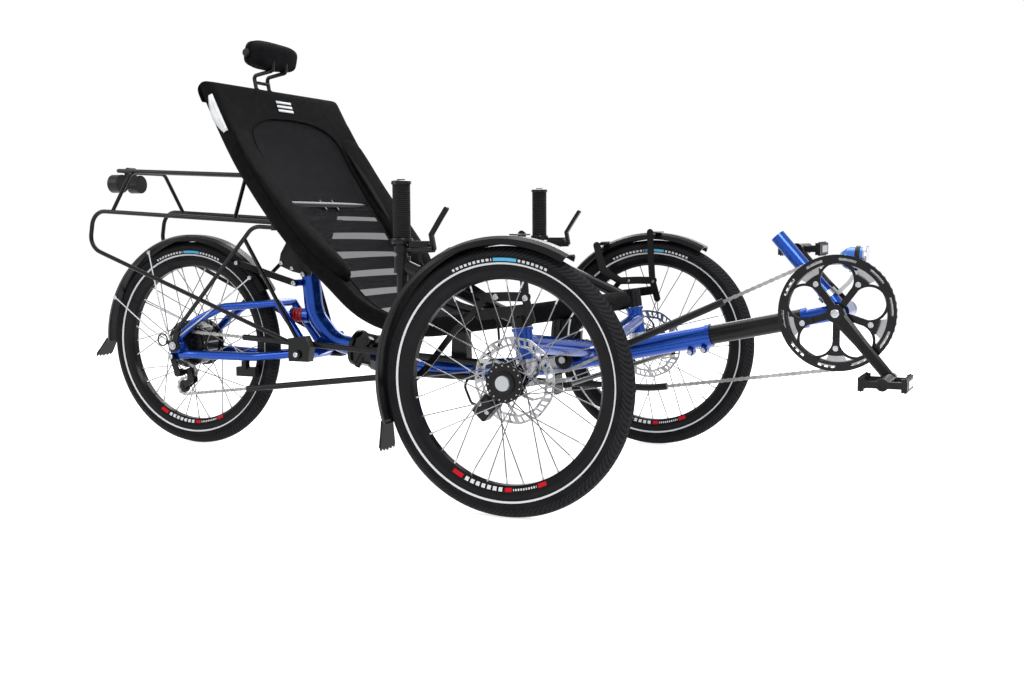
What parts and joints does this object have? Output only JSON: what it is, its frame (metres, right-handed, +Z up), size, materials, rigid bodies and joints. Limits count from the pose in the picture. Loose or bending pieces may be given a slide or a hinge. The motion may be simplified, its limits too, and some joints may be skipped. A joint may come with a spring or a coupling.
{
  "type": "recumbent tadpole trike",
  "caption": "Recumbent trike with steered front wheels, a driven rear wheel on a sprung swingarm, mesh seat, underseat steering, mudguards and rack.",
  "frame": {"origin": "middle of the wheelbase span of the whole part, on the floor in the middle plane", "axes": "+X forward, +Y to the rider's left, +Z up"},
  "size_m": [1.9708, 0.89, 0.9427],
  "materials": {
    "frame_blue": "glossy metallic blue",
    "black_metal": "satin black",
    "silver": "satin",
    "steel": "brushed",
    "chain_steel": "oiled",
    "black_plastic": "matt",
    "guard_plastic": "gloss",
    "lamp_blue": "gloss",
    "red_elastomer": "matt",
    "seat_cloth": "woven",
    "grip_rubber": "matt",
    "tyre_rubber": "matt",
    "rim_black": "gloss black",
    "hub_black": "satin"
  },
  "bodies": {
    "frame": {"front_frame": "frame_blue", "rear_frame": "frame_blue", "frame_clamp": "black_metal", "boom": "black_metal", "bottom_bracket": "frame_blue", "headlight": "lamp_blue", "headlight_bracket": "silver", "swingarm": "frame_blue", "elastomer_block": "red_elastomer", "pivot_pin": "black_metal", "rear_axle": "steel", "idler_bracket": "silver", "guide_wheels": "black_plastic", "chain_tensioner": "black_metal", "chain_tubes": "black_plastic", "chain": "chain_steel", "seat_cover": "seat_cloth", "seat_frame": "black_metal", "seat_stay": "black_metal", "headrest_pad": "seat_cloth", "headrest_stay": "black_metal", "rack": "black_metal", "rear_light": "black_plastic", "fender_rear": "guard_plastic", "fender_stays": "silver", "shift_box": "black_plastic"},
    "steered_right": {"knuckle_right": "silver", "handlebar_right": "black_metal", "grip_right": "grip_rubber", "brake_lever_right": "black_metal", "brake_caliper_right": "black_metal", "brake_hose_right": "black_plastic", "fender_right": "guard_plastic", "fender_bracket_right": "black_metal"},
    "front_wheel_right": {"tyre_right": "tyre_rubber", "rim_right": "rim_black", "hub_right": "hub_black", "rotor_right": "steel"},
    "steered_left": {"knuckle_left": "silver", "handlebar_left": "black_metal", "grip_left": "grip_rubber", "brake_lever_left": "black_metal", "brake_caliper_left": "black_metal", "brake_hose_left": "black_plastic", "fender_left": "guard_plastic", "fender_bracket_left": "black_metal"},
    "front_wheel_left": {"tyre_left": "tyre_rubber", "rim_left": "rim_black", "hub_left": "hub_black", "rotor_left": "steel"},
    "rear_wheel": {"tyre_rear": "tyre_rubber", "rim_rear": "rim_black", "hub_rear": "hub_black"},
    "crank": {"crank_right": "black_metal", "crank_left": "black_metal", "chainring": "steel", "chain_guard": "black_metal"},
    "pedal_right": {"pedal_right": "black_plastic"},
    "pedal_left": {"pedal_left": "black_plastic"},
    "tie_rod": {"tie_rod": "black_metal"}
  },
  "joints": [
    {"name": "rear_wheel_spin", "type": "hinge", "parent": "frame", "child": "rear_wheel", "pos_m": [-0.6905, 0, 0.243], "axis": [0, 1, 0], "continuous": true},
    {"name": "steer_right", "type": "hinge", "parent": "frame", "child": "steered_right", "pos_m": [0.32015, -0.315, 0.30242], "axis": [-0.1392, 0, 0.9903], "range_deg": [-25, 25]},
    {"name": "steer_left", "type": "hinge", "parent": "frame", "child": "steered_left", "pos_m": [0.32015, 0.315, 0.30242], "axis": [-0.1392, 0, 0.9903], "range_deg": [-25, 25]},
    {"name": "tie_rod_swing", "type": "hinge", "parent": "steered_right", "child": "tie_rod", "pos_m": [0.40583, -0.315, 0.23165], "axis": [-0.1392, 0, 0.9903], "range_deg": [-25, 25]},
    {"name": "front_wheel_right_spin", "type": "hinge", "parent": "steered_right", "child": "front_wheel_right", "pos_m": [0.3295, -0.417, 0.243], "axis": [0, 1, 0], "continuous": true},
    {"name": "front_wheel_left_spin", "type": "hinge", "parent": "steered_left", "child": "front_wheel_left", "pos_m": [0.3295, 0.417, 0.243], "axis": [0, 1, 0], "continuous": true},
    {"name": "crank_spin", "type": "hinge", "parent": "frame", "child": "crank", "pos_m": [0.84049, 0, 0.35608], "axis": [0, 1, 0], "continuous": true},
    {"name": "pedal_right_spin", "type": "hinge", "parent": "crank", "child": "pedal_right", "pos_m": [0.9434, -0.138, 0.24017], "axis": [0, 1, 0], "continuous": true},
    {"name": "pedal_left_spin", "type": "hinge", "parent": "crank", "child": "pedal_left", "pos_m": [0.73758, 0.138, 0.47199], "axis": [0, 1, 0], "continuous": true}
  ],
  "couplings": [
    {"joint": "steer_left", "follows": "steer_right", "ratio": 1},
    {"joint": "tie_rod_swing", "follows": "steer_right", "ratio": -1}
  ]
}
